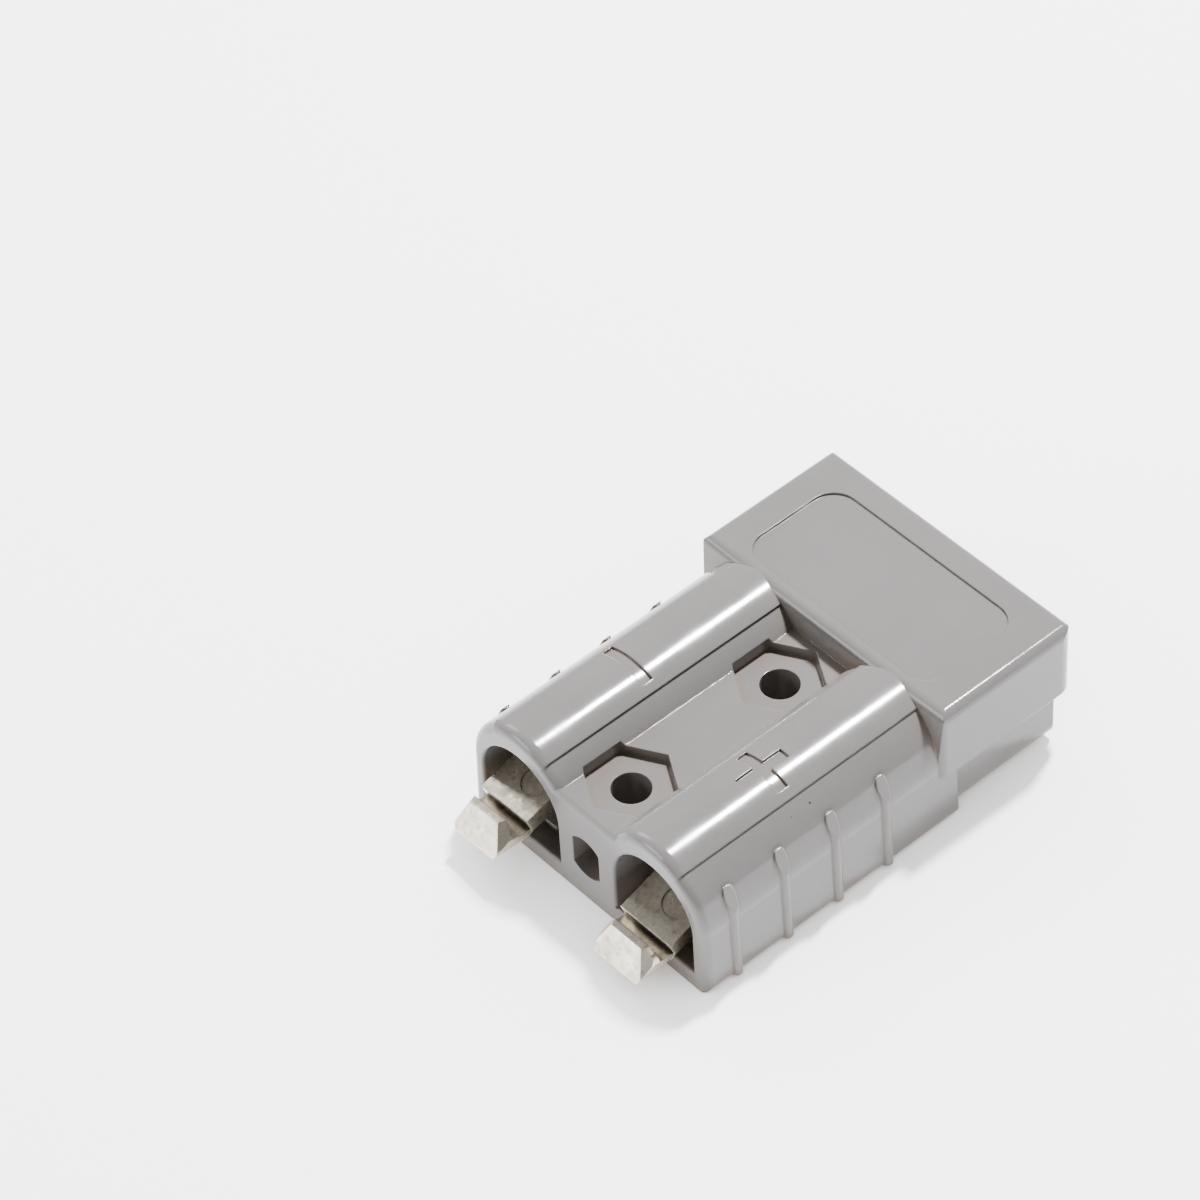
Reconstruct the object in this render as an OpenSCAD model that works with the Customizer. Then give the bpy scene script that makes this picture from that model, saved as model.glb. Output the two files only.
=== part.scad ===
// Two-pole genderless power connector: a one-piece moulded housing that holds
// two flat-tongued contacts, each pressed up by its own leaf spring.
// +X is the side of the positive pole, -Y is the mating side, +Z is up.
// The origin is midway between the two mounting holes, on the base.

/* [Housing] */
// Length of the housing, from mating face to rear face
body_len = 52.1; // [51:0.1:60]
// Width of the housing at its base, without the grip ribs
base_w = 36.1; // [35:0.1:40]
// Height of the housing
body_h = 16.5; // [15.8:0.1:18]
// Lean of the side walls, which makes the housing narrower at the top
draft = 2.4; // [0.5:0.1:3]
// Distance between the centre planes of the two poles
pole_pitch = 20.3; // [19.6:0.1:20.8]
// Rounding of the front edges
front_round = 1.1; // [0.5:0.1:1.4]
// Rounding of the bottom edges along the sides
base_round = 1.1; // [0.5:0.1:1.6]
// Depth of the channel between the two barrels, below the top
channel_depth = 3.4; // [2.6:0.1:3.8]
// Height of the step between a barrel's crown and its flank
crown_step = 0.25; // [0.15:0.05:0.4]
// Half of the angle that the crown of a barrel spans
crown_angle = 32; // [24:1:34]
// Rounding of the edges of the two pole openings
mouth_round = 0.35; // [0.2:0.05:0.5]

/* [Rear block] */
// Length of the block behind the shoulder
block_len = 19.7; // [18:0.1:22]
// Width of the block
block_w = 36.3; // [35.8:0.1:37]
// Forward lean of the rear face
rear_lean = 2; // [0:0.5:3]
// Backward lean of the shoulder face
shoulder_lean = 8; // [2:1:12]
// Rounding of the block's top edges
block_round = 1.1; // [0.5:0.1:1.4]
// Rounding of the block's rear corners, seen from above
corner_round = 2.2; // [1:0.1:3]
// Height of the overhanging band's lower edge above the base
band_z = 7.4; // [6.5:0.1:8]
// Length of the skirt under the band
skirt_len = 16.8; // [15:0.1:18]
// How far the skirt lies inside the side walls
skirt_inset = 1; // [0.6:0.1:1.2]
// How far the skirt stops short of the rear face
skirt_setback = 2.2; // [1:0.1:2.6]
// Rounding of the skirt's bottom edges
skirt_round = 2; // [1:0.1:2.4]
// Length of the raised lip at the rear end of the skirt
lip_len = 2.9; // [2:0.1:4]
// Height of the lip above the base
lip_rise = 1; // [0.5:0.1:1.5]

/* [Label recess] */
// Width of the label recess, across the block
label_w = 27.7; // [20:0.1:29]
// Length of the label recess, along the block
label_len = 13.6; // [10:0.1:14]
// Distance from the label recess to the rear face
label_margin = 4; // [3:0.1:4.4]
// Corner radius of the label recess
label_round = 3; // [2:0.1:4]
// Depth of the label recess
label_depth = 0.25; // [0.15:0.05:0.4]

/* [Mounting holes] */
// Distance between the two mounting holes
hole_pitch = 20.6; // [19.6:0.1:21]
// Distance from the mating face to the first mounting hole
hole_inset = 6.5; // [6:0.1:7]
// Diameter of a mounting hole
hole_d = 4.3; // [4.1:0.1:4.6]
// Width across the flats of the nut recess
nut_flats = 8.9; // [8.8:0.1:9.3]
// Depth of the nut recess below the channel floor
nut_depth = 1.1; // [0.8:0.1:1.6]

/* [Grip ribs and marks] */
// Number of grip ribs on each side
rib_count = 4; // [2:1:4]
// Distance between two grip ribs
rib_pitch = 7; // [6.5:0.1:7.4]
// Distance from the mating face to the first rib
rib_inset = 4.2; // [3.5:0.1:5]
// Width of a grip rib
rib_w = 1.4; // [1:0.1:1.8]
// How far a grip rib stands out of the wall
rib_proud = 0.45; // [0.3:0.05:0.6]
// Length of a bar of a polarity mark
mark_len = 6.2; // [5:0.1:6.6]
// Width of a bar of a polarity mark
mark_w = 1.35; // [1:0.05:1.6]
// Depth of a polarity mark
mark_depth = 0.3; // [0.15:0.05:0.4]
// Distance from the mating face to the centre of the marks
mark_y = 15.3; // [12:0.1:18]

/* [Pole openings] */
// Width of the arched opening for a pole
mouth_w = 11.6; // [11:0.1:11.8]
// Thickness of the floor under the opening
floor_t = 2.2; // [2:0.1:2.6]
// Height of the arch's centre above the base
arch_z = 7.7; // [7.4:0.1:8]
// Depth of the arched opening
mouth_depth = 22; // [20:0.5:23]
// Diameter of the chamber around the wire barrel
chamber_d = 9.4; // [9:0.1:9.8]
// Diameter of a wire entry
entry_d = 10.6; // [10:0.1:11]
// Depth of a wire entry
entry_depth = 6; // [4:0.5:7]
// Width of the small socket between the poles
socket_w = 4; // [3.4:0.1:4.4]
// Diameter of the small socket's round roof and floor
socket_d = 5.4; // [4.8:0.1:6]
// Height of the small socket's centre above the base
socket_z = 6.3; // [5.8:0.1:7]
// Depth of the small socket
socket_depth = 3.4; // [2:0.1:3.6]

/* [Contacts] */
// Height of the wire barrels' axes above the base
contact_z = 7.8; // [7.7:0.05:7.9]
// Width of the tongue
tongue_w = 7.5; // [7:0.1:7.8]
// Thickness of the tongue
tongue_t = 2; // [1.8:0.1:2.2]
// How far the tongue's contact surface runs out of the mating face
tongue_out = 1.1; // [0.9:0.1:1.3]
// Distance from the mating face to where the tongue starts to slope down
slope_start = 6; // [5:0.1:7]
// Slope of the tongue's front end
slope = 20; // [16:0.5:21]
// Length of the nose in front of the tongue
nose_len = 4.3; // [4:0.1:4.6]
// Height of the nose's ridge above the tongue's front end
nose_rise = 0.6; // [0.3:0.05:0.8]
// How far the hook under the nose reaches below the tongue
hook_drop = 1.5; // [1.2:0.1:1.6]
// Outer diameter of the wire barrel
barrel_d = 8; // [7.6:0.1:8.2]
// Inner diameter of the wire barrel
bore_d = 6; // [5.4:0.1:6.4]
// Length of the wire barrel
barrel_len = 14; // [12:0.5:15]
// Distance from the mating face to the rear end of the wire barrel
barrel_end = 42; // [40:0.5:43]
// Diameter of the inspection hole in the wire barrel
sight_d = 2.2; // [1.8:0.1:2.6]
// Diameter of the round dimple in the contact surface
dimple_d = 3.8; // [3:0.1:4.4]

/* [Springs] */
// Width of a leaf spring
spring_w = 6.4; // [5:0.1:6.6]
// Thickness of a leaf spring
spring_t = 0.5; // [0.4:0.05:0.6]
// Length of the spring's flat tail, which sits in a slot of the housing
tail_len = 6; // [5:0.1:7]
// Depth of the slot for the tail
slot_depth = 3.5; // [2.5:0.1:4.5]

/* [Hidden] */
$fn = 96;

// a cut runs this far past the surface that it opens
over = 1;
// clearance of the spring's tail in its slot
slot_gap = 0.05;
// the barrels' crowns lie this far under the block's top
crown_sink = 0.05;

// places along the housing
face_y = -hole_inset - hole_pitch / 2;
rear_y = face_y + body_len;
shoulder_y = rear_y - block_len;
skirt_y = rear_y - skirt_len;
pole_x = pole_pitch / 2;
channel_z = body_h - channel_depth;

// the flank of a barrel meets the side wall almost smoothly: it stands this far
// out of the wall, so that the two cross at a slight angle
flank_proud = 0.04;
lean = tan(draft);
crown_top = body_h - crown_sink;
flank_r = cos(draft) * (base_w / 2 - pole_x - (crown_top - crown_step) * lean)
    / (1 - cos(draft) * lean) + flank_proud;
crown_r = flank_r + crown_step;
axis_z = crown_top - crown_r;
wall_top = axis_z + flank_r * sin(draft);

// half of the width between the side walls at a height
function half_w(z) = base_w / 2 - z * lean;

// Contacts float in their chambers, and each lies as its spring leaves it:
// [rise of the nose, roll, turn outwards, all in degrees, and shift forwards]
positive_lie = [0, 0, 0, 0];
negative_lie = [2.2, 5, 2, 0.2];
tongue_drop = (slope_start + tongue_out) * tan(slope);

// A polygon with convex corners rounded by true arcs. Each corner is [x, y, r].
function unit(v) = v / norm(v);
function corner_in(c, n) =
    let (half = acos(max(-1, min(1, unit(c[0]) * unit(c[1])))) / 2)
    n / tan(half);
module rounded_polygon(corners) {
    n = len(corners);
    at = [for (c = corners) [c[0], c[1]]];
    back = [for (i = [0 : n - 1]) unit(at[(i + n - 1) % n] - at[i])];
    ahead = [for (i = [0 : n - 1]) unit(at[(i + 1) % n] - at[i])];
    reach = [for (i = [0 : n - 1]) corner_in([back[i], ahead[i]], corners[i][2])];
    polygon([for (i = [0 : n - 1]) each corners[i][2] > 0
        ? [at[i] + back[i] * reach[i], at[i] + ahead[i] * reach[i]]
        : [at[i]]]);
    for (i = [0 : n - 1])
        if (corners[i][2] > 0)
            translate(at[i] + unit(back[i] + ahead[i]) * norm([reach[i], corners[i][2]]))
                circle(r = corners[i][2]);
}

// Carries a profile drawn in X and Z along +Y, from y to y + length
module along_y(y, length)
    translate([0, y + length, 0]) rotate([90, 0, 0]) linear_extrude(length) children();

// Carries a profile drawn in Y and Z across the housing, from -width/2 to width/2
module across_x(width)
    translate([-width / 2, 0, 0]) rotate([90, 0, 90]) linear_extrude(width) children();

// A solid drum that lies along +Y, with its front edge rounded
module drum(r, length, edge)
    rotate([-90, 0, 0]) rotate_extrude() {
        square([r - edge, length]);
        translate([0, edge]) square([r, length - edge]);
        translate([r - edge, edge]) circle(r = edge);
    }

// What rounding takes off an upright edge of a side wall. The edge stands at y,
// the solid lies towards inward along Y, and the cut leans with the wall.
module upright_edge(side, half, angle, y, inward, r)
    translate([side * half, y, 0]) rotate([0, -side * angle, 0])
        translate([0, 0, -over]) linear_extrude(body_h + 2 * over) difference() {
            translate([side * (over - r) / 2, inward * (r - over) / 2])
                square([r + over, r + over], center = true);
            translate([-side * r, inward * r]) circle(r = r);
        }

// The slab under the barrels, as wide as the housing
module base_slab()
    difference() {
        along_y(face_y, skirt_y - face_y) rounded_polygon([
            [-half_w(0), 0, base_round], [half_w(0), 0, base_round],
            [half_w(wall_top), wall_top, 0], [-half_w(wall_top), wall_top, 0]]);
        for (side = [-1, 1])
            upright_edge(side, base_w / 2, draft, face_y, 1, front_round);
    }

// The web between the two barrels, whose top is the channel floor
module web() {
    edge = front_round / 2;
    across_x(pole_pitch) rounded_polygon([
        [face_y, over, 0], [shoulder_y + over, over, 0],
        [shoulder_y + over, channel_z, 0], [face_y, channel_z, edge]]);
}

// One arched barrel: a flank, and a crown that stands a step above it
module barrel(side)
    translate([side * pole_x, face_y, axis_z]) {
        length = shoulder_y - face_y + 2 * block_round;
        drum(flank_r, length, front_round);
        intersection() {
            drum(crown_r, length, front_round);
            along_y(-over, length + 2 * over) polygon([[0, 0],
                2 * crown_r * [-sin(crown_angle), cos(crown_angle)],
                2 * crown_r * [sin(crown_angle), cos(crown_angle)]]);
        }
    }

// One grip rib: it fades into the flank at its top
module rib(side, y) {
    wall = half_w(0) + rib_proud;
    shoulder_z = wall_top + 1;
    intersection() {
        translate([side * (wall - rib_w / 2), y, 0]) rotate([0, -side * draft, 0])
            cylinder(d = rib_w, h = body_h);
        along_y(y - rib_w, 2 * rib_w) polygon([for (p = [
            [half_w(0) - 2, base_round / 2], [wall + 1, base_round / 2],
            [wall + 1, shoulder_z - 1], [half_w(shoulder_z) + rib_proud, shoulder_z],
            [pole_x + flank_r * sin(62), axis_z + flank_r * cos(62) + 0.6],
            [half_w(0) - 2, axis_z + flank_r * cos(62) + 0.6]]) [side * p[0], p[1]]]);
    }
}

// The block behind the shoulder, above the band's lower edge
module upper_block() {
    half = block_w / 2;
    rise = body_h - band_z;
    difference() {
        intersection() {
            along_y(shoulder_y - over, block_len + 2 * over) rounded_polygon([
                [-half, band_z, 0], [half, band_z, 0],
                [half, body_h, block_round], [-half, body_h, block_round]]);
            across_x(block_w + over) rounded_polygon([
                [shoulder_y, band_z - over, 0], [rear_y + over * tan(rear_lean), band_z - over, 0],
                [rear_y - rise * tan(rear_lean), body_h, block_round],
                [shoulder_y + rise * tan(shoulder_lean) / 2, body_h, block_round]]);
        }
        for (side = [-1, 1]) {
            upright_edge(side, half, 0, rear_y, -1, corner_round);
            upright_edge(side, half, 0, shoulder_y, 1, front_round);
        }
    }
}

// The skirt under the band, with a raised lip at its rear end
module skirt() {
    half = block_w / 2 - skirt_inset;
    back = rear_y - skirt_setback;
    difference() {
        along_y(skirt_y - over, back - skirt_y + over) rounded_polygon([
            [-half, 0, skirt_round], [half, 0, skirt_round],
            [half, band_z + over, 0], [-half, band_z + over, 0]]);
        translate([-base_w / 2, back - lip_len, -over]) cube([base_w, lip_len + over, lip_rise + over]);
    }
}

// A bar cut into the crown of the barrel on one side, across it or along it
module mark_bar(side, size)
    difference() {
        translate([side * pole_x - size[0] / 2, face_y + mark_y - size[1] / 2, axis_z])
            cube([size[0], size[1], crown_r + over]);
        translate([side * pole_x, face_y, axis_z]) rotate([-90, 0, 0])
            cylinder(r = crown_r - mark_depth, h = body_len);
    }

// What rounding takes off the edge of a pole's opening. The profile lies in X
// and Y, with the opening on one side of the origin and the wall on the other.
module edge_profile(wall)
    difference() {
        translate([-mouth_round, -over]) square([2 * mouth_round, over + mouth_round]);
        translate([wall * mouth_round, mouth_round]) circle(r = mouth_round);
    }
module mouth_edge()
    translate([0, face_y, 0]) {
        translate([0, 0, arch_z]) rotate([-90, 0, 0]) rotate_extrude()
            translate([mouth_w / 2, 0]) edge_profile(1);
        for (wall = [-1, 1])
            translate([wall * mouth_w / 2, 0, floor_t])
                linear_extrude(arch_z - floor_t) edge_profile(wall);
        translate([-mouth_w / 2, 0, floor_t]) rotate([0, 90, 0]) linear_extrude(mouth_w)
            edge_profile(1);
    }

// The hollow of one pole: arched mouth, chamber, wire entry and spring slot
module pole_hollow(side)
    translate([side * pole_x, 0, 0]) {
        along_y(face_y - over, mouth_depth + over) {
            translate([0, arch_z]) circle(d = mouth_w);
            translate([-mouth_w / 2, floor_t]) square([mouth_w, arch_z - floor_t]);
        }
        mouth_edge();
        translate([0, face_y, contact_z]) rotate([-90, 0, 0]) cylinder(d = chamber_d, h = body_len + over);
        translate([0, rear_y - entry_depth, contact_z]) rotate([-90, 0, 0]) cylinder(d = entry_d, h = entry_depth + over);
        translate([-spring_w / 2 - slot_gap, face_y + mouth_depth - over, floor_t])
            cube([spring_w + 2 * slot_gap, slot_depth + over, spring_t + 2 * slot_gap]);
    }

module housing()
    color([0.68, 0.68, 0.69]) difference() {
        union() {
            base_slab();
            web();
            upper_block();
            skirt();
            for (side = [-1, 1]) {
                barrel(side);
                for (i = [0 : rib_count - 1]) rib(side, face_y + rib_inset + i * rib_pitch);
            }
        }
        for (side = [-1, 1]) {
            pole_hollow(side);
            mark_bar(side, [mark_len, mark_w]);
            translate([0, side * hole_pitch / 2, 0]) {
                translate([0, 0, -over]) cylinder(d = hole_d, h = body_h + over);
                translate([0, 0, channel_z - nut_depth]) rotate(30)
                    cylinder(d = nut_flats / cos(30), h = body_h, $fn = 6);
            }
        }
        mark_bar(1, [mark_w, mark_len]);
        along_y(face_y - over, socket_depth + over) intersection() {
            translate([0, socket_z]) circle(d = socket_d);
            translate([-socket_w / 2, 0]) square([socket_w, body_h]);
        }
        translate([0, rear_y - label_margin - label_len / 2, body_h - label_depth])
            linear_extrude(label_depth + over) rounded_polygon([
                for (c = [[-1, -1], [1, -1], [1, 1], [-1, 1]])
                    [c[0] * label_w / 2, c[1] * label_len / 2, label_round]]);
    }

// Everything ahead of a plane through a point, in the direction of n
module ahead_of(point, n)
    translate(point) rotate([0, acos(n[2] / norm(n)), atan2(n[1], n[0])])
        translate([-barrel_len, -barrel_len, 0]) cube(2 * barrel_len);

// The nose in front of the tongue: a ridge, an inclined face and bevelled sides,
// with a rounded hook underneath that reaches over the end of the spring
module nose() {
    half = tongue_w / 2;
    ridge = -tongue_out - 1.75;
    tip = -tongue_out - nose_len;
    hook = -tongue_t - hook_drop;
    ends = [0.69 * half, ridge, nose_rise];
    cheek = [0.96 * half, ridge - 0.6, nose_rise - 1.9];
    translate([0, 0, -tongue_drop]) difference() {
        intersection() {
            across_x(tongue_w) rounded_polygon([
                [-tongue_out + 0.6, -0.7 * tongue_t, 0], [ridge + 0.55, -0.7 * tongue_t, 0],
                [ridge, nose_rise, 0], [ridge - 0.8, nose_rise - 0.05, 0.2],
                [tip, hook + 0.6, 0.3], [tip + 0.25, hook, 0.45], [tip + 2.2, hook, 0.6],
                [-tongue_out + 0.6, -tongue_t, 0]]);
            along_y(tip - over, nose_len + 2 * over) rounded_polygon([
                [-ends[0], nose_rise, 0], [-cheek[0], cheek[2], 0], [-cheek[0], hook, 1.9],
                [cheek[0], hook, 1.9], [cheek[0], cheek[2], 0], [ends[0], nose_rise, 0]]);
        }
        for (side = [-1, 1]) {
            back = [side * half, -tongue_out, 0];
            n = side * cross([side * ends[0], ends[1], ends[2]] - back,
                [side * cheek[0], cheek[1], cheek[2]] - back);
            ahead_of(back, n);
        }
    }
}

// A contact in its own frame: the barrel's axis is Y, the contact surface is
// z = 0, and y = 0 is where the housing's mating face comes
module contact() {
    half = tongue_w / 2;
    neck = barrel_end - barrel_len;
    difference() {
        union() {
            nose();
            across_x(tongue_w) polygon([[neck - 4, -tongue_t], [neck - 4, 0], [slope_start, 0],
                [-tongue_out, -tongue_drop], [-tongue_out + 0.5, -tongue_drop - 0.7 * tongue_t],
                [-tongue_out, -tongue_drop - tongue_t], [slope_start - 0.35, -tongue_t]]);
            // the tube flattens into the tongue
            hull() {
                translate([-half, neck - 4.5, -tongue_t]) cube([tongue_w, 0.5, tongue_t]);
                translate([0, neck, 0]) rotate([-90, 0, 0]) cylinder(d = barrel_d, h = 0.1, $fn = 32);
            }
            translate([0, neck, 0]) rotate([-90, 0, 0]) cylinder(d = barrel_d, h = barrel_len);
        }
        translate([0, neck + 1.5, 0]) rotate([-90, 0, 0]) cylinder(d = bore_d, h = barrel_len);
        translate([0, neck + 3.5, 0]) cylinder(d = sight_d, h = barrel_d);
        translate([0, slope_start, 0]) rotate([slope, 0, 0])
            translate([0.9, 2.6 - slope_start, -0.15]) cylinder(d = dimple_d, h = 0.5);
    }
}

// Lays a contact in its chamber: it turns about the middle of its wire barrel
module lay(side, lie) {
    pivot = [0, barrel_end - barrel_len / 2, 0];
    translate([side * pole_x, face_y - lie[3], contact_z] + pivot)
        rotate([-lie[0], 0, 0]) rotate([0, -lie[1], side * lie[2]])
            translate(-pivot) children();
}

module contact_positive() color([0.83, 0.81, 0.76]) lay(1, positive_lie) contact();
module contact_negative() color([0.83, 0.81, 0.76]) lay(-1, negative_lie) contact();

// Height of the tongue's underside above the base, at its lower edge, y behind the mating face
function under_z(lie, y) =
    contact_z + (barrel_end - barrel_len / 2 - y) * sin(lie[0]) - tongue_t
        - tongue_w / 2 * sin(abs(lie[1]));

// A leaf spring: a flat tail in the slot, then a hump that carries the tongue
module leaf_spring(side, lie) {
    steps = 24;
    front = 2;
    flat = mouth_depth + slot_depth - slot_gap;
    start = flat - tail_len;
    lift = under_z(lie, 9) - floor_t - spring_t - 2 * slot_gap;
    function hump(y) = lift * pow(sin(150 * (start - y) / (start - front)), 2);
    line = [for (i = [0 : steps]) let (y = start - (start - front) * i / steps) [y, hump(y)]];
    translate([side * pole_x, face_y, floor_t + slot_gap]) across_x(spring_w)
        polygon(concat([[flat, spring_t]], [for (p = line) [p[0], p[1] + spring_t]],
            [for (i = [steps : -1 : 0]) line[i]], [[flat, 0]]));
}

module spring_positive() color([0.72, 0.72, 0.74]) leaf_spring(1, positive_lie);
module spring_negative() color([0.72, 0.72, 0.74]) leaf_spring(-1, negative_lie);

housing();
contact_positive();
contact_negative();
spring_positive();
spring_negative();
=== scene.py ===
import math

import bpy
import numpy as np
from mathutils import Matrix, Vector

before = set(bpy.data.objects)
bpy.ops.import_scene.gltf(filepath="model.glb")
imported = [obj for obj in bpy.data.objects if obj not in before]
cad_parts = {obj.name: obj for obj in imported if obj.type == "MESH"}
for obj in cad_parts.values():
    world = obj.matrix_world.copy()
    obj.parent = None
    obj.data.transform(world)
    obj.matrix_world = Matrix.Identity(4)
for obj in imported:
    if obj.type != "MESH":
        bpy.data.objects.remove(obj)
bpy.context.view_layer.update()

# The view: from the front right and above, with a long lens, turned a little
# about its own axis. Angles are in degrees and lengths in metres.
VIEW_AZIMUTH, VIEW_ELEVATION, VIEW_ROLL = 51.08, 46.39, 3.75
VIEW_DISTANCE = 0.5378
VIEW_TARGET = Vector((0.0, 0.0022, 0.0057))
VIEW_OFFSET = (0.0128, -0.01712)
SENSOR_MM, LENS_MM = 36.0, 156.132

a, e, r = (math.radians(v) for v in (VIEW_AZIMUTH, VIEW_ELEVATION, VIEW_ROLL))
level = Vector((math.cos(a), math.sin(a), 0))
upward = Vector((-math.sin(a) * math.sin(e), math.cos(a) * math.sin(e), math.cos(e)))
backward = Vector((math.sin(a) * math.cos(e), -math.cos(a) * math.cos(e), math.sin(e)))
side_axis = math.cos(r) * level - math.sin(r) * upward
up_axis = math.sin(r) * level + math.cos(r) * upward
place = (VIEW_TARGET - VIEW_OFFSET[0] * side_axis - VIEW_OFFSET[1] * up_axis
         + VIEW_DISTANCE * backward)
lens = bpy.data.cameras.new("view")
lens.sensor_width = SENSOR_MM
lens.lens = LENS_MM
lens.clip_start, lens.clip_end = 0.01, 10
camera = bpy.data.objects.new("view", lens)
turn = Matrix((side_axis, up_axis, backward)).transposed().to_4x4()
camera.matrix_world = Matrix.Translation(place) @ turn
bpy.context.scene.collection.objects.link(camera)
bpy.context.scene.camera = camera


# The tabletop: a sheet of opal acrylic, lit faintly from below as a product table is,
# so that it stays white and shadows on it are pale and soft. Near and under the part its glow is
# cut: a painted shadow.
def linear(code):
    """sRGB hex code to linear RGBA."""
    c = np.array([int(code[i:i + 2], 16) for i in (1, 3, 5)]) / 255
    return (*np.where(c <= 0.04045, c / 12.92, ((c + 0.055) / 1.055) ** 2.4), 1.0)


def add(tree, kind, inputs=None, **settings):
    """Adds a node with its settings. An input takes a value or another node's output."""
    node = tree.nodes.new(kind)
    for key, value in settings.items():
        setattr(node, key, value)
    for key, value in (inputs or {}).items():
        if isinstance(value, bpy.types.NodeSocket):
            tree.links.new(value, node.inputs[key])
        else:
            node.inputs[key].default_value = value
    return node


def material(name):
    """A new material with its tree, its shader and the object's own coordinates."""
    m = bpy.data.materials.new(name)
    m.use_nodes = True
    tree = m.node_tree
    shader = next(n for n in tree.nodes if n.type == "BSDF_PRINCIPLED")
    return m, tree, shader, add(tree, "ShaderNodeTexCoord").outputs["Object"]


def sheet(name, half_x, half_y, z, steps=40):
    """A flat grid: x = half_x * u, y = half_y * v, for u and v from -1 to 1."""
    u, v = np.meshgrid(np.linspace(-1, 1, steps), np.linspace(-1, 1, steps), indexing="ij")
    points = np.stack([half_x * u, half_y * v, z + 0 * u], -1).reshape(-1, 3)
    i, j = np.meshgrid(np.arange(steps - 1), np.arange(steps - 1), indexing="ij")
    corner = (i * steps + j).ravel()
    faces = np.stack([corner, corner + steps, corner + steps + 1, corner + 1], -1)
    mesh = bpy.data.meshes.new(name)
    mesh.from_pydata(points.tolist(), [], faces.tolist())
    mesh.update()
    obj = bpy.data.objects.new(name, mesh)
    bpy.context.scene.collection.objects.link(obj)
    return obj


TABLE_HALF = 2.0
TABLE_GLOW = 2.1

tabletop = sheet("tabletop", TABLE_HALF, TABLE_HALF, 0.0)
opal_acrylic, tree, shader, here = material("opal_acrylic_sheet")
shader.inputs["Base Color"].default_value = linear("#F6F6F7")
shader.inputs["Roughness"].default_value = 0.6
shader.inputs["Specular IOR Level"].default_value = 0.2
shader.inputs["Emission Color"].default_value = (1, 1, 1, 1)
# painted shadow: less of the glow is left within 70 mm of the part, and none beneath it
painted_shadow_ao = add(tree, "ShaderNodeAmbientOcclusion", {"Distance": 0.07}, samples=8)
glow_less_painted_shadow = add(tree, "ShaderNodeMath", {0: painted_shadow_ao.outputs["AO"], 1: TABLE_GLOW},
           operation="MULTIPLY")
tree.links.new(glow_less_painted_shadow.outputs["Value"], shader.inputs["Emission Strength"])
tabletop.data.materials.append(opal_acrylic)

# Light: a white tent all round, a small bright softbox above and behind that
# draws thin lines along the barrels and edges, and two soft fills.
tent = bpy.data.worlds.new("white_tent")
tent.use_nodes = True
tent.node_tree.nodes["Background"].inputs["Color"].default_value = (1, 1, 1, 1)
tent.node_tree.nodes["Background"].inputs["Strength"].default_value = 0.22
bpy.context.scene.world = tent


def softbox(name, direction, distance, size, power):
    """A rectangular area light in a direction from the part, facing it."""
    lamp = bpy.data.lights.new(name, "AREA")
    lamp.shape = "RECTANGLE"
    lamp.size, lamp.size_y = size
    lamp.energy = power
    box = bpy.data.objects.new(name, lamp)
    direction = Vector(direction).normalized()
    facing = (-direction).to_track_quat("-Z", "Y").to_matrix().to_4x4()
    box.matrix_world = Matrix.Translation(distance * direction) @ facing
    bpy.context.scene.collection.objects.link(box)
    return box


softbox("softbox_key", (-0.12, 0.44, 0.89), 0.7, (0.05, 0.08), 16.0)
softbox("softbox_back", (-0.8, 0.1, 0.6), 1.0, (0.4, 0.4), 4.0)
softbox("softbox_front", (-0.45, -0.85, 0.35), 1.1, (0.5, 0.5), 7.0)


# The housing: polycarbonate, injection moulded in one piece from grey-dyed
# granules. It is glossy where the mould was polished, lets a little light into
# thin edges, and carries a few dark specks of burnt resin.
# the warm colour is painted light for inner corners, not a colour of the resin
MOULD_GREY, PAINTED_CORNER_WARM, SPECK = "#706E6D", "#776A5F", "#2A2826"

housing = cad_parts["housing"]
polycarbonate, tree, shader, here = material("polycarbonate_moulded_grey")
# broad, weak clouds of dye, about 12 mm across
clouds = add(tree, "ShaderNodeTexNoise", {"Vector": here, "Scale": 80.0, "Detail": 3.0})
cloud_mix = add(tree, "ShaderNodeMapRange", {"Value": clouds.outputs["Fac"], "From Min": 0.35,
                                             "From Max": 0.65, "To Min": 0.965, "To Max": 1.03})
# painted light: inner corners are tinted warmer, standing in for light that passes back and forth
# there
painted_corner_light_ao = add(tree, "ShaderNodeAmbientOcclusion", {"Distance": 0.0035}, samples=8)
painted_corner_light = add(tree, "ShaderNodeMapRange", {"Value": painted_corner_light_ao.outputs["AO"], "From Min": 0.25,
                                         "From Max": 0.95, "To Min": 1.0, "To Max": 0.0})
grey_and_painted_corner_light = add(tree, "ShaderNodeMix", {"Factor": painted_corner_light.outputs["Result"]}, data_type="RGBA")
grey_and_painted_corner_light.inputs[6].default_value = linear(MOULD_GREY)
grey_and_painted_corner_light.inputs[7].default_value = linear(PAINTED_CORNER_WARM)
clouds_and_painted_corner_light = add(tree, "ShaderNodeMix", {"Factor": 1.0, 6: grey_and_painted_corner_light.outputs[2],
                                     7: cloud_mix.outputs["Result"]},
             data_type="RGBA", blend_type="MULTIPLY")
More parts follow.
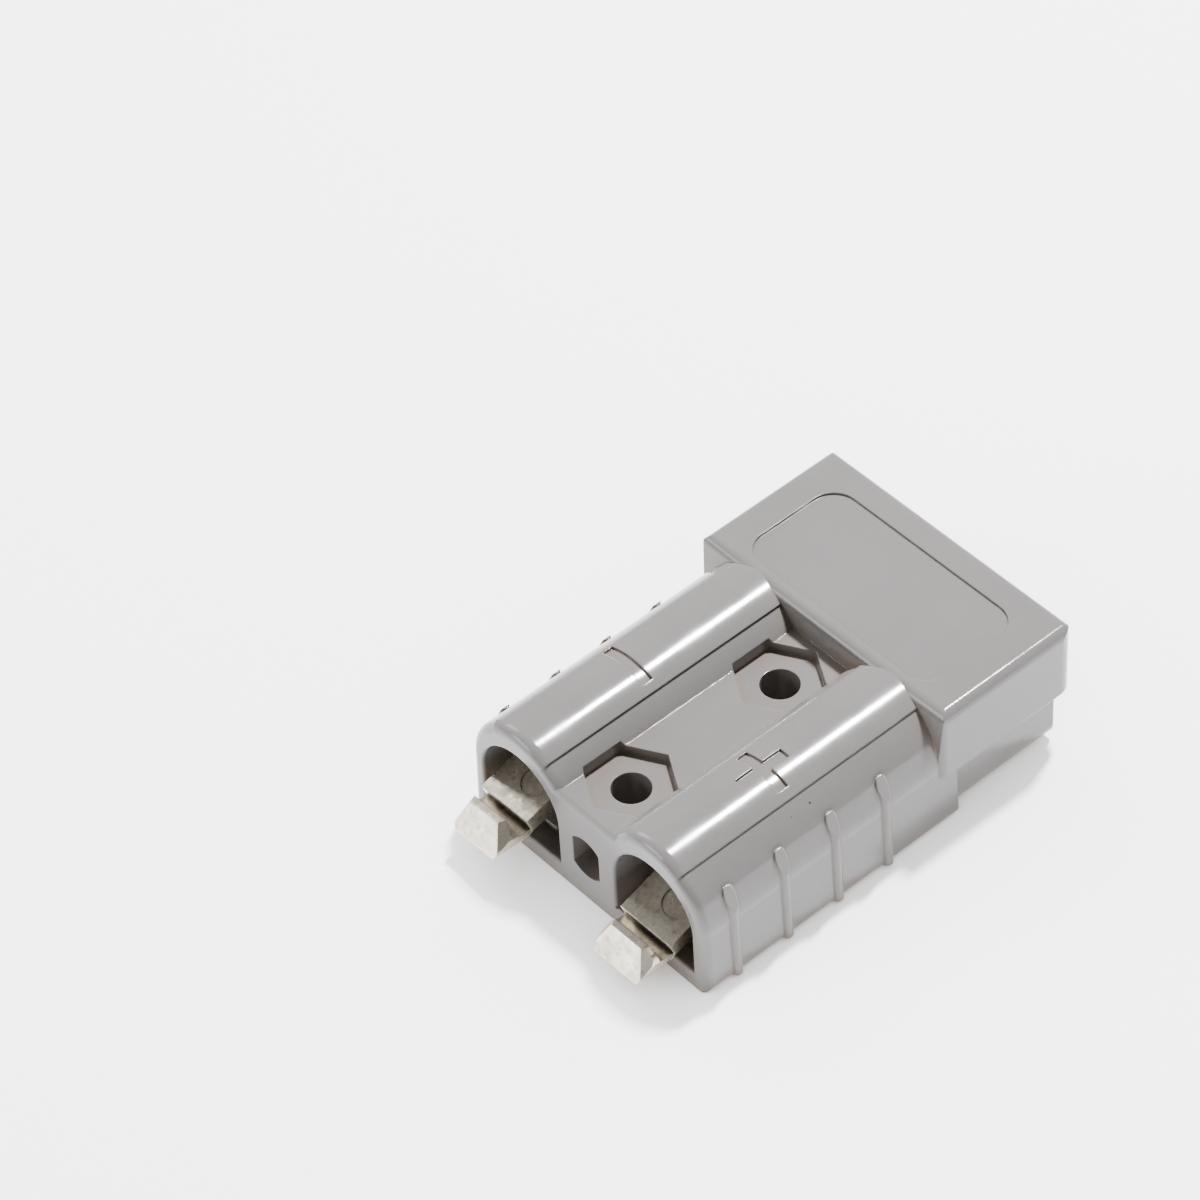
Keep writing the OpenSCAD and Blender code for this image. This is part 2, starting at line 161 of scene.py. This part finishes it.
# specks of burnt resin 0.2 to 0.3 mm across, in about one cell of 1.5 mm in 67
cells = add(tree, "ShaderNodeTexVoronoi", {"Vector": here, "Scale": 650.0, "Randomness": 1.0})
chosen = add(tree, "ShaderNodeSeparateColor", {"Color": cells.outputs["Color"]})
rare = add(tree, "ShaderNodeMath", {0: chosen.outputs["Red"], 1: 0.985}, operation="GREATER_THAN")
small = add(tree, "ShaderNodeMapRange", {"Value": cells.outputs["Distance"], "From Min": 0.06,
                                         "From Max": 0.10, "To Min": 1.0, "To Max": 0.0})
speck = add(tree, "ShaderNodeMath", {0: rare.outputs["Value"], 1: small.outputs["Result"]},
            operation="MULTIPLY")
coloured = add(tree, "ShaderNodeMix", {"Factor": speck.outputs["Value"], 6: clouds_and_painted_corner_light.outputs[2]},
               data_type="RGBA")
coloured.inputs[7].default_value = linear(SPECK)
tree.links.new(coloured.outputs[2], shader.inputs["Base Color"])
shader.inputs["IOR"].default_value = 1.585
shader.inputs["Specular IOR Level"].default_value = 0.25
shader.inputs["Subsurface Weight"].default_value = 0.12
shader.inputs["Subsurface Radius"].default_value = (1.0, 0.82, 0.7)
shader.inputs["Subsurface Scale"].default_value = 0.0012
# the polish of the mould varies: faint sheen patches about 4 mm across
polish = add(tree, "ShaderNodeTexNoise", {"Vector": here, "Scale": 260.0, "Detail": 4.0})
rough = add(tree, "ShaderNodeMapRange", {"Value": polish.outputs["Fac"], "From Min": 0.3,
                                         "From Max": 0.7, "To Min": 0.10, "To Max": 0.17})
tree.links.new(rough.outputs["Result"], shader.inputs["Roughness"])
# edges rounded by the mould at 0.22 mm, and shallow flow ripples 2 mm long
rounded = add(tree, "ShaderNodeBevel", {"Radius": 0.00022}, samples=6)
flow = add(tree, "ShaderNodeTexNoise", {"Vector": here, "Scale": 520.0, "Detail": 2.0})
ripples = add(tree, "ShaderNodeBump", {"Height": flow.outputs["Fac"], "Distance": 0.000012,
                                       "Strength": 0.5, "Normal": rounded.outputs["Normal"]})
# turning rings in the nut recesses: a sine of the distance from each screw's axis
HOLE_Y, RING_REACH, RING_PITCH = 0.0103, 0.0043, 0.00035
RING_LOW, RING_HIGH = 0.0115, 0.0125
axes = add(tree, "ShaderNodeSeparateXYZ", {"Vector": here})
ring_height = None
for centre in (-HOLE_Y, HOLE_Y):
    moved = add(tree, "ShaderNodeMath", {0: axes.outputs["Y"], 1: centre}, operation="SUBTRACT")
    flat = add(tree, "ShaderNodeCombineXYZ", {"X": axes.outputs["X"], "Y": moved.outputs["Value"]})
    radius = add(tree, "ShaderNodeVectorMath", {0: flat.outputs["Vector"]}, operation="LENGTH")
    near = add(tree, "ShaderNodeMath", {0: radius.outputs["Value"], 1: RING_REACH},
               operation="LESS_THAN")
    phase = add(tree, "ShaderNodeMath", {0: radius.outputs["Value"],
                                         1: 2 * math.pi / RING_PITCH}, operation="MULTIPLY")
    wave = add(tree, "ShaderNodeMath", {0: phase.outputs["Value"]}, operation="SINE")
    rings = add(tree, "ShaderNodeMath", {0: wave.outputs["Value"], 1: near.outputs["Value"]},
                operation="MULTIPLY")
    ring_height = rings if ring_height is None else add(
        tree, "ShaderNodeMath", {0: rings.outputs["Value"], 1: ring_height.outputs["Value"]},
        operation="ADD")
low = add(tree, "ShaderNodeMath", {0: axes.outputs["Z"], 1: RING_HIGH},
          operation="LESS_THAN")
high = add(tree, "ShaderNodeMath", {0: axes.outputs["Z"], 1: RING_LOW},
           operation="GREATER_THAN")
level_floor = add(tree, "ShaderNodeMath", {0: low.outputs["Value"], 1: high.outputs["Value"]},
                  operation="MULTIPLY")
on_floor = add(tree, "ShaderNodeMath", {0: ring_height.outputs["Value"],
                                        1: level_floor.outputs["Value"]}, operation="MULTIPLY")
turned = add(tree, "ShaderNodeBump", {"Height": on_floor.outputs["Value"], "Distance": 0.000006,
                                      "Strength": 0.6, "Normal": ripples.outputs["Normal"]})
tree.links.new(turned.outputs["Normal"], shader.inputs["Normal"])
housing.data.materials.clear()
housing.data.materials.append(polycarbonate)

# The contacts: copper strip, stamped and bent with its wire barrel rolled up in
# one piece, then plated with silver. Wiping the plating leaves a fine brushed
# grain along the tongue, soft mottling, and scattered dark flakes.
# the tarnish colour serves both the real flakes and the painted shade in corners
SILVER_PALE, SILVER_DULL, TARNISH_AND_PAINTED_SHADE = "#DAD2C2", "#B2AA9B", "#4A4237"
FLAKE_DARKNESS = 0.25

silver, tree, shader, here = material("silver_plated_copper_stamped")
mottle = add(tree, "ShaderNodeTexNoise", {"Vector": here, "Scale": 900.0, "Detail": 5.0,
                                          "Roughness": 0.65})
mixed = add(tree, "ShaderNodeMapRange", {"Value": mottle.outputs["Fac"], "From Min": 0.35,
                                         "From Max": 0.68})
plate = add(tree, "ShaderNodeMix", {"Factor": mixed.outputs["Result"]}, data_type="RGBA")
plate.inputs[6].default_value = linear(SILVER_PALE)
plate.inputs[7].default_value = linear(SILVER_DULL)
# flakes of tarnish 0.4 mm across, and painted shade: corners and hollows are darkened toward the
# tarnish colour
flakes = add(tree, "ShaderNodeTexVoronoi", {"Vector": here, "Scale": 2600.0})
flake_pick = add(tree, "ShaderNodeSeparateColor", {"Color": flakes.outputs["Color"]})
flake = add(tree, "ShaderNodeMath", {0: flake_pick.outputs["Red"], 1: 0.965},
            operation="GREATER_THAN")
painted_shade_ao = add(tree, "ShaderNodeAmbientOcclusion", {"Distance": 0.0012}, samples=8)
painted_corner_shade = add(tree, "ShaderNodeMapRange", {"Value": painted_shade_ao.outputs["AO"], "From Min": 0.35,
                                         "From Max": 0.85, "To Min": 0.85, "To Max": 0.0})
both = add(tree, "ShaderNodeMath", {0: flake.outputs["Value"], 1: FLAKE_DARKNESS},
           operation="MULTIPLY")
flakes_and_painted_shade = add(tree, "ShaderNodeMath", {0: both.outputs["Value"], 1: painted_corner_shade.outputs["Result"]},
           operation="MAXIMUM")
worn_and_painted_shade = add(tree, "ShaderNodeMix", {"Factor": flakes_and_painted_shade.outputs["Value"], 6: plate.outputs[2]},
           data_type="RGBA")
worn_and_painted_shade.inputs[7].default_value = linear(TARNISH_AND_PAINTED_SHADE)
tree.links.new(worn_and_painted_shade.outputs[2], shader.inputs["Base Color"])
shader.inputs["Metallic"].default_value = 1.0
dull = add(tree, "ShaderNodeMapRange", {"Value": mottle.outputs["Fac"], "From Min": 0.3,
                                        "From Max": 0.7, "To Min": 0.24, "To Max": 0.42})
tree.links.new(dull.outputs["Result"], shader.inputs["Roughness"])
# brushed grain along Y: lines 0.06 mm apart across X, 3 mm long
stretch = add(tree, "ShaderNodeMapping", {"Vector": here, "Scale": (16000.0, 350.0, 9000.0)})
grain = add(tree, "ShaderNodeTexNoise", {"Vector": stretch.outputs["Vector"], "Scale": 1.0,
                                         "Detail": 3.0})
eased = add(tree, "ShaderNodeBevel", {"Radius": 0.00014}, samples=6)
brushed = add(tree, "ShaderNodeBump", {"Height": grain.outputs["Fac"], "Distance": 0.000012,
                                       "Strength": 0.55, "Normal": eased.outputs["Normal"]})
dents = add(tree, "ShaderNodeBump", {"Height": mottle.outputs["Fac"], "Distance": 0.00003,
                                     "Strength": 0.5, "Normal": brushed.outputs["Normal"]})
tree.links.new(dents.outputs["Normal"], shader.inputs["Normal"])
for name in ("contact_positive", "contact_negative"):
    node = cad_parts[name]
    node.data.materials.clear()
    node.data.materials.append(silver)

# The leaf springs: strip of stainless spring steel, rolled, sheared and bent.
# Rolling leaves fine lines along the strip.
STEEL_PALE, STEEL_DARK = "#B4B2AE", "#8C8A86"
spring_steel, tree, shader, here = material("stainless_spring_strip_rolled")
stretch = add(tree, "ShaderNodeMapping", {"Vector": here, "Scale": (20000.0, 300.0, 300.0)})
rolled = add(tree, "ShaderNodeTexNoise", {"Vector": stretch.outputs["Vector"], "Scale": 1.0,
                                          "Detail": 3.0})
streak = add(tree, "ShaderNodeMix", {"Factor": rolled.outputs["Fac"]}, data_type="RGBA")
streak.inputs[6].default_value = linear(STEEL_PALE)
streak.inputs[7].default_value = linear(STEEL_DARK)
tree.links.new(streak.outputs[2], shader.inputs["Base Color"])
shader.inputs["Metallic"].default_value = 1.0
lines = add(tree, "ShaderNodeMapRange", {"Value": rolled.outputs["Fac"], "To Min": 0.2,
                                         "To Max": 0.4})
tree.links.new(lines.outputs["Result"], shader.inputs["Roughness"])
strip_edge = add(tree, "ShaderNodeBevel", {"Radius": 0.00008}, samples=4)
tree.links.new(strip_edge.outputs["Normal"], shader.inputs["Normal"])
for name in ("spring_positive", "spring_negative"):
    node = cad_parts[name]
    node.data.materials.clear()
    node.data.materials.append(spring_steel)
